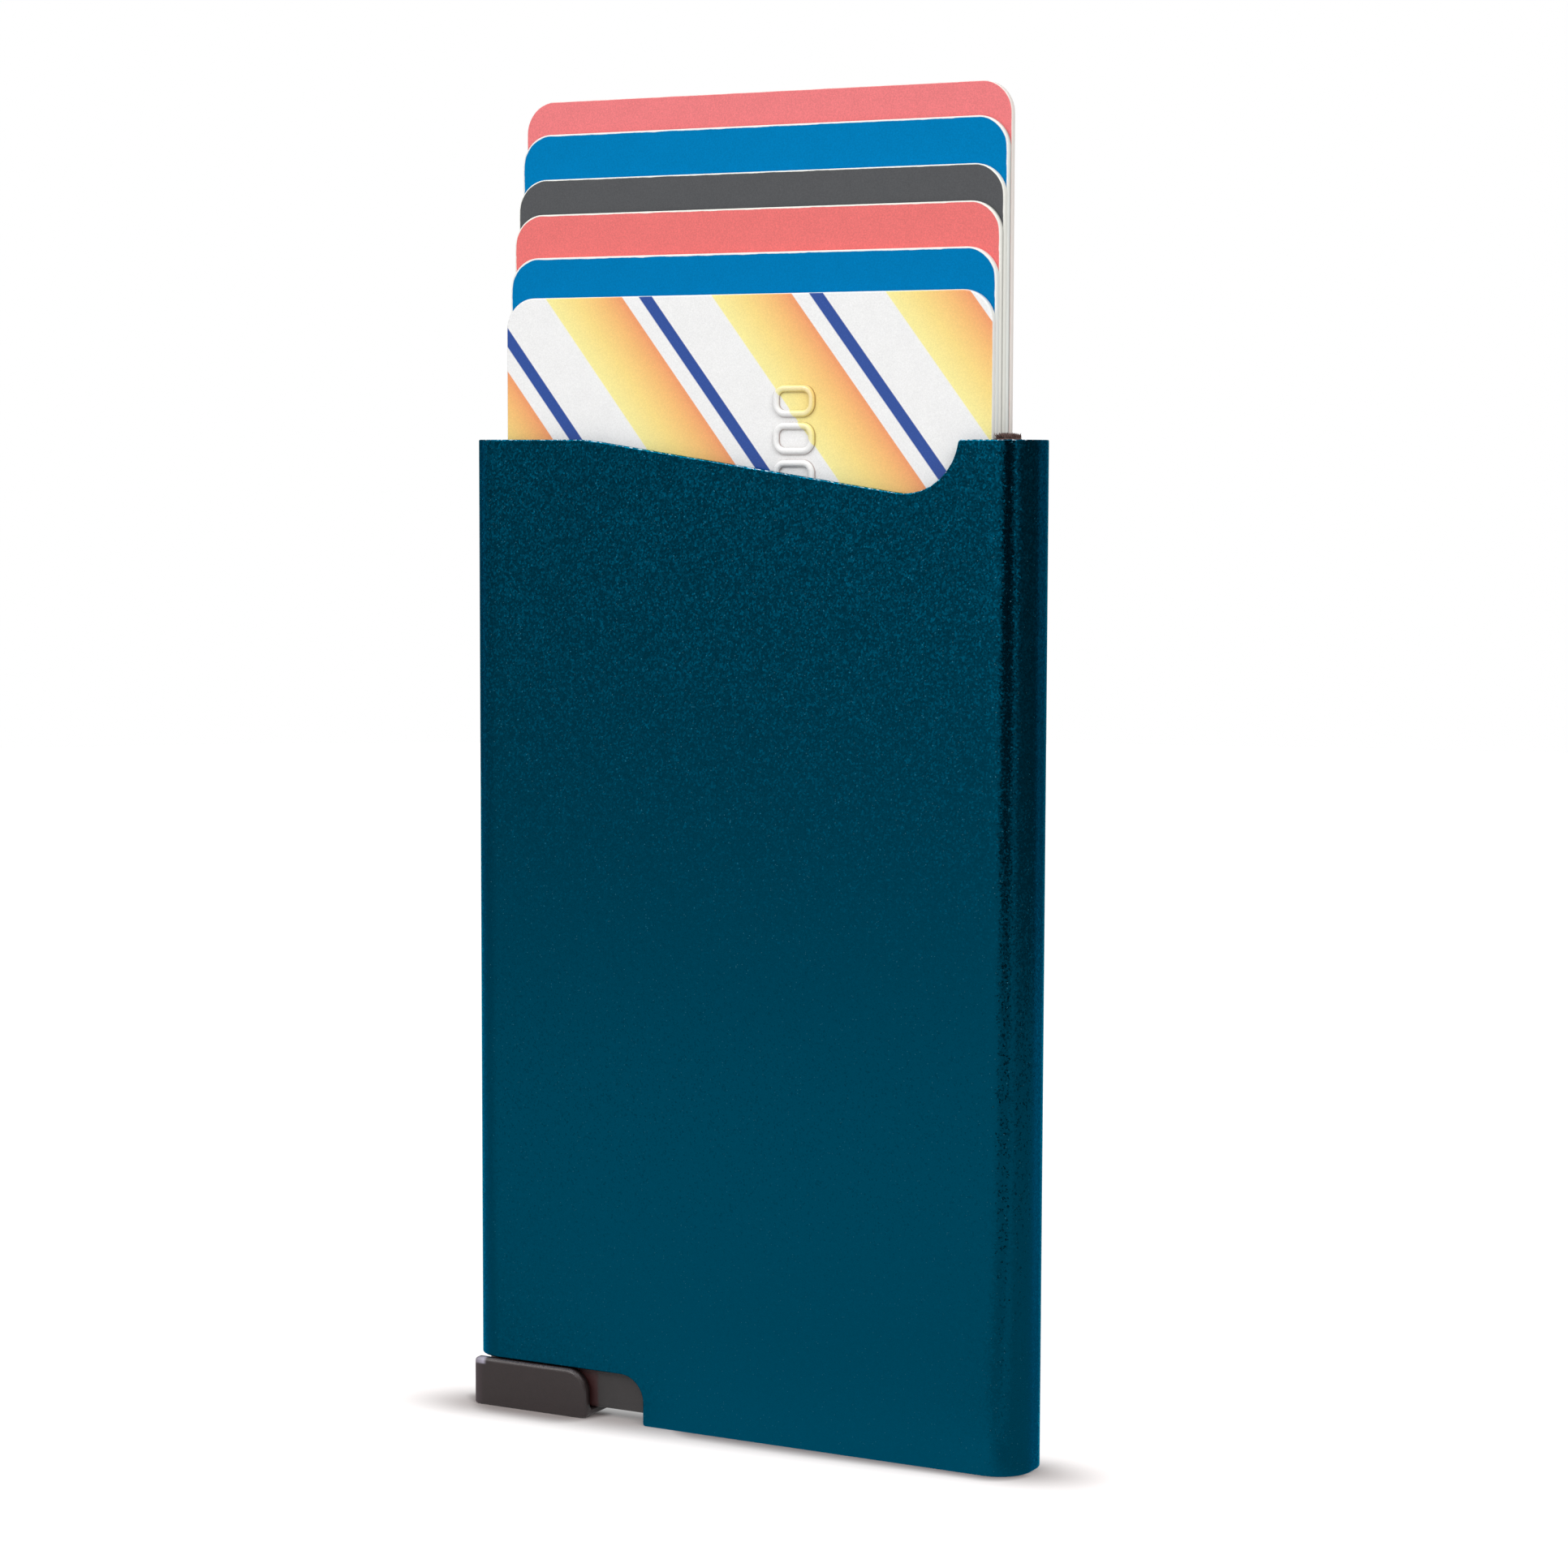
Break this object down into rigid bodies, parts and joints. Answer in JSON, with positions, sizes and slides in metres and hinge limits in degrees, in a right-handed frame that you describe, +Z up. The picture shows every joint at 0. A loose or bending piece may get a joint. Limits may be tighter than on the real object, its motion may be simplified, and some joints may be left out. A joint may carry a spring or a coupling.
{
  "type": "card holder",
  "caption": "Slim aluminium card holder with a thumb saddle at the bottom left that slides sideways and, through an inner arm, pushes the cards out of the top in a fan.",
  "frame": {"origin": "middle of the case's bottom edge", "axes": "+Z up through the open top, -Y out of the front wall with the thumb cut-out, +X to the right seen from the front"},
  "size_m": [0.0622, 0.0092, 0.1335],
  "materials": {
    "anodised_aluminium": "petrol blue anodised, fine bead-blasted",
    "insert_plastic": "fine moulded grain",
    "saddle_plastic": "fine moulded grain, satin",
    "slider_plastic": "moulded",
    "pin_steel": "turned",
    "drive_pin_steel": "turned",
    "arm_plastic": "moulded",
    "left_rail_plastic": "moulded",
    "right_rail_plastic": "moulded",
    "left_felt_pile": "short dark brown pile",
    "right_felt_pile": "short dark brown pile",
    "card_pink_rear": "satin laminated",
    "card_blue_rear": "satin laminated",
    "card_grey": "satin laminated",
    "card_pink_front": "satin laminated",
    "card_blue_front": "satin laminated",
    "card_printed": "satin laminated, printed with a made-up pattern"
  },
  "bodies": {
    "case": {"shell": "anodised_aluminium", "base_insert": "insert_plastic", "left_guide_rail": "left_rail_plastic", "right_guide_rail": "right_rail_plastic", "left_felt": "left_felt_pile", "right_felt": "right_felt_pile", "pivot_pin": "pin_steel"},
    "slider": {"thumb_saddle": "saddle_plastic", "slide_bar": "slider_plastic", "drive_pin": "drive_pin_steel"},
    "ejector": {"ejector_arm": "arm_plastic"},
    "rear_card": {"card_1": "card_pink_rear"},
    "second_card": {"card_2": "card_blue_rear"},
    "third_card": {"card_3": "card_grey"},
    "fourth_card": {"card_4": "card_pink_front"},
    "fifth_card": {"card_5": "card_blue_front"},
    "front_card": {"card_6": "card_printed"}
  },
  "joints": [
    {"name": "ejector_turn", "type": "hinge", "parent": "case", "child": "ejector", "pos_m": [0.0246, 0, 0.0112], "axis": [0, -1, 0], "range_deg": [0, 52]},
    {"name": "saddle_slide", "type": "slide", "parent": "case", "child": "slider", "axis": [1, 0, 0], "range_m": [0, 0.0056]},
    {"name": "rear_card_slide", "type": "slide", "parent": "case", "child": "rear_card", "axis": [0, 0, -1], "range_m": [0, 0.03465]},
    {"name": "second_card_slide", "type": "slide", "parent": "case", "child": "second_card", "axis": [0, 0, -1], "range_m": [0, 0.0313]},
    {"name": "third_card_slide", "type": "slide", "parent": "case", "child": "third_card", "axis": [0, 0, -1], "range_m": [0, 0.02675]},
    {"name": "fourth_card_slide", "type": "slide", "parent": "case", "child": "fourth_card", "axis": [0, 0, -1], "range_m": [0, 0.0232]},
    {"name": "fifth_card_slide", "type": "slide", "parent": "case", "child": "fifth_card", "axis": [0, 0, -1], "range_m": [0, 0.01885]},
    {"name": "front_card_slide", "type": "slide", "parent": "case", "child": "front_card", "axis": [0, 0, -1], "range_m": [0, 0.0148]}
  ],
  "couplings": [
    {"joint": "saddle_slide", "follows": "ejector_turn", "m_per_rad": 0.00617},
    {"joint": "rear_card_slide", "follows": "ejector_turn", "m_per_rad": 0.03817},
    {"joint": "second_card_slide", "follows": "ejector_turn", "m_per_rad": 0.03448},
    {"joint": "third_card_slide", "follows": "ejector_turn", "m_per_rad": 0.02947},
    {"joint": "fourth_card_slide", "follows": "ejector_turn", "m_per_rad": 0.02556},
    {"joint": "fifth_card_slide", "follows": "ejector_turn", "m_per_rad": 0.02076},
    {"joint": "front_card_slide", "follows": "ejector_turn", "m_per_rad": 0.0163}
  ]
}
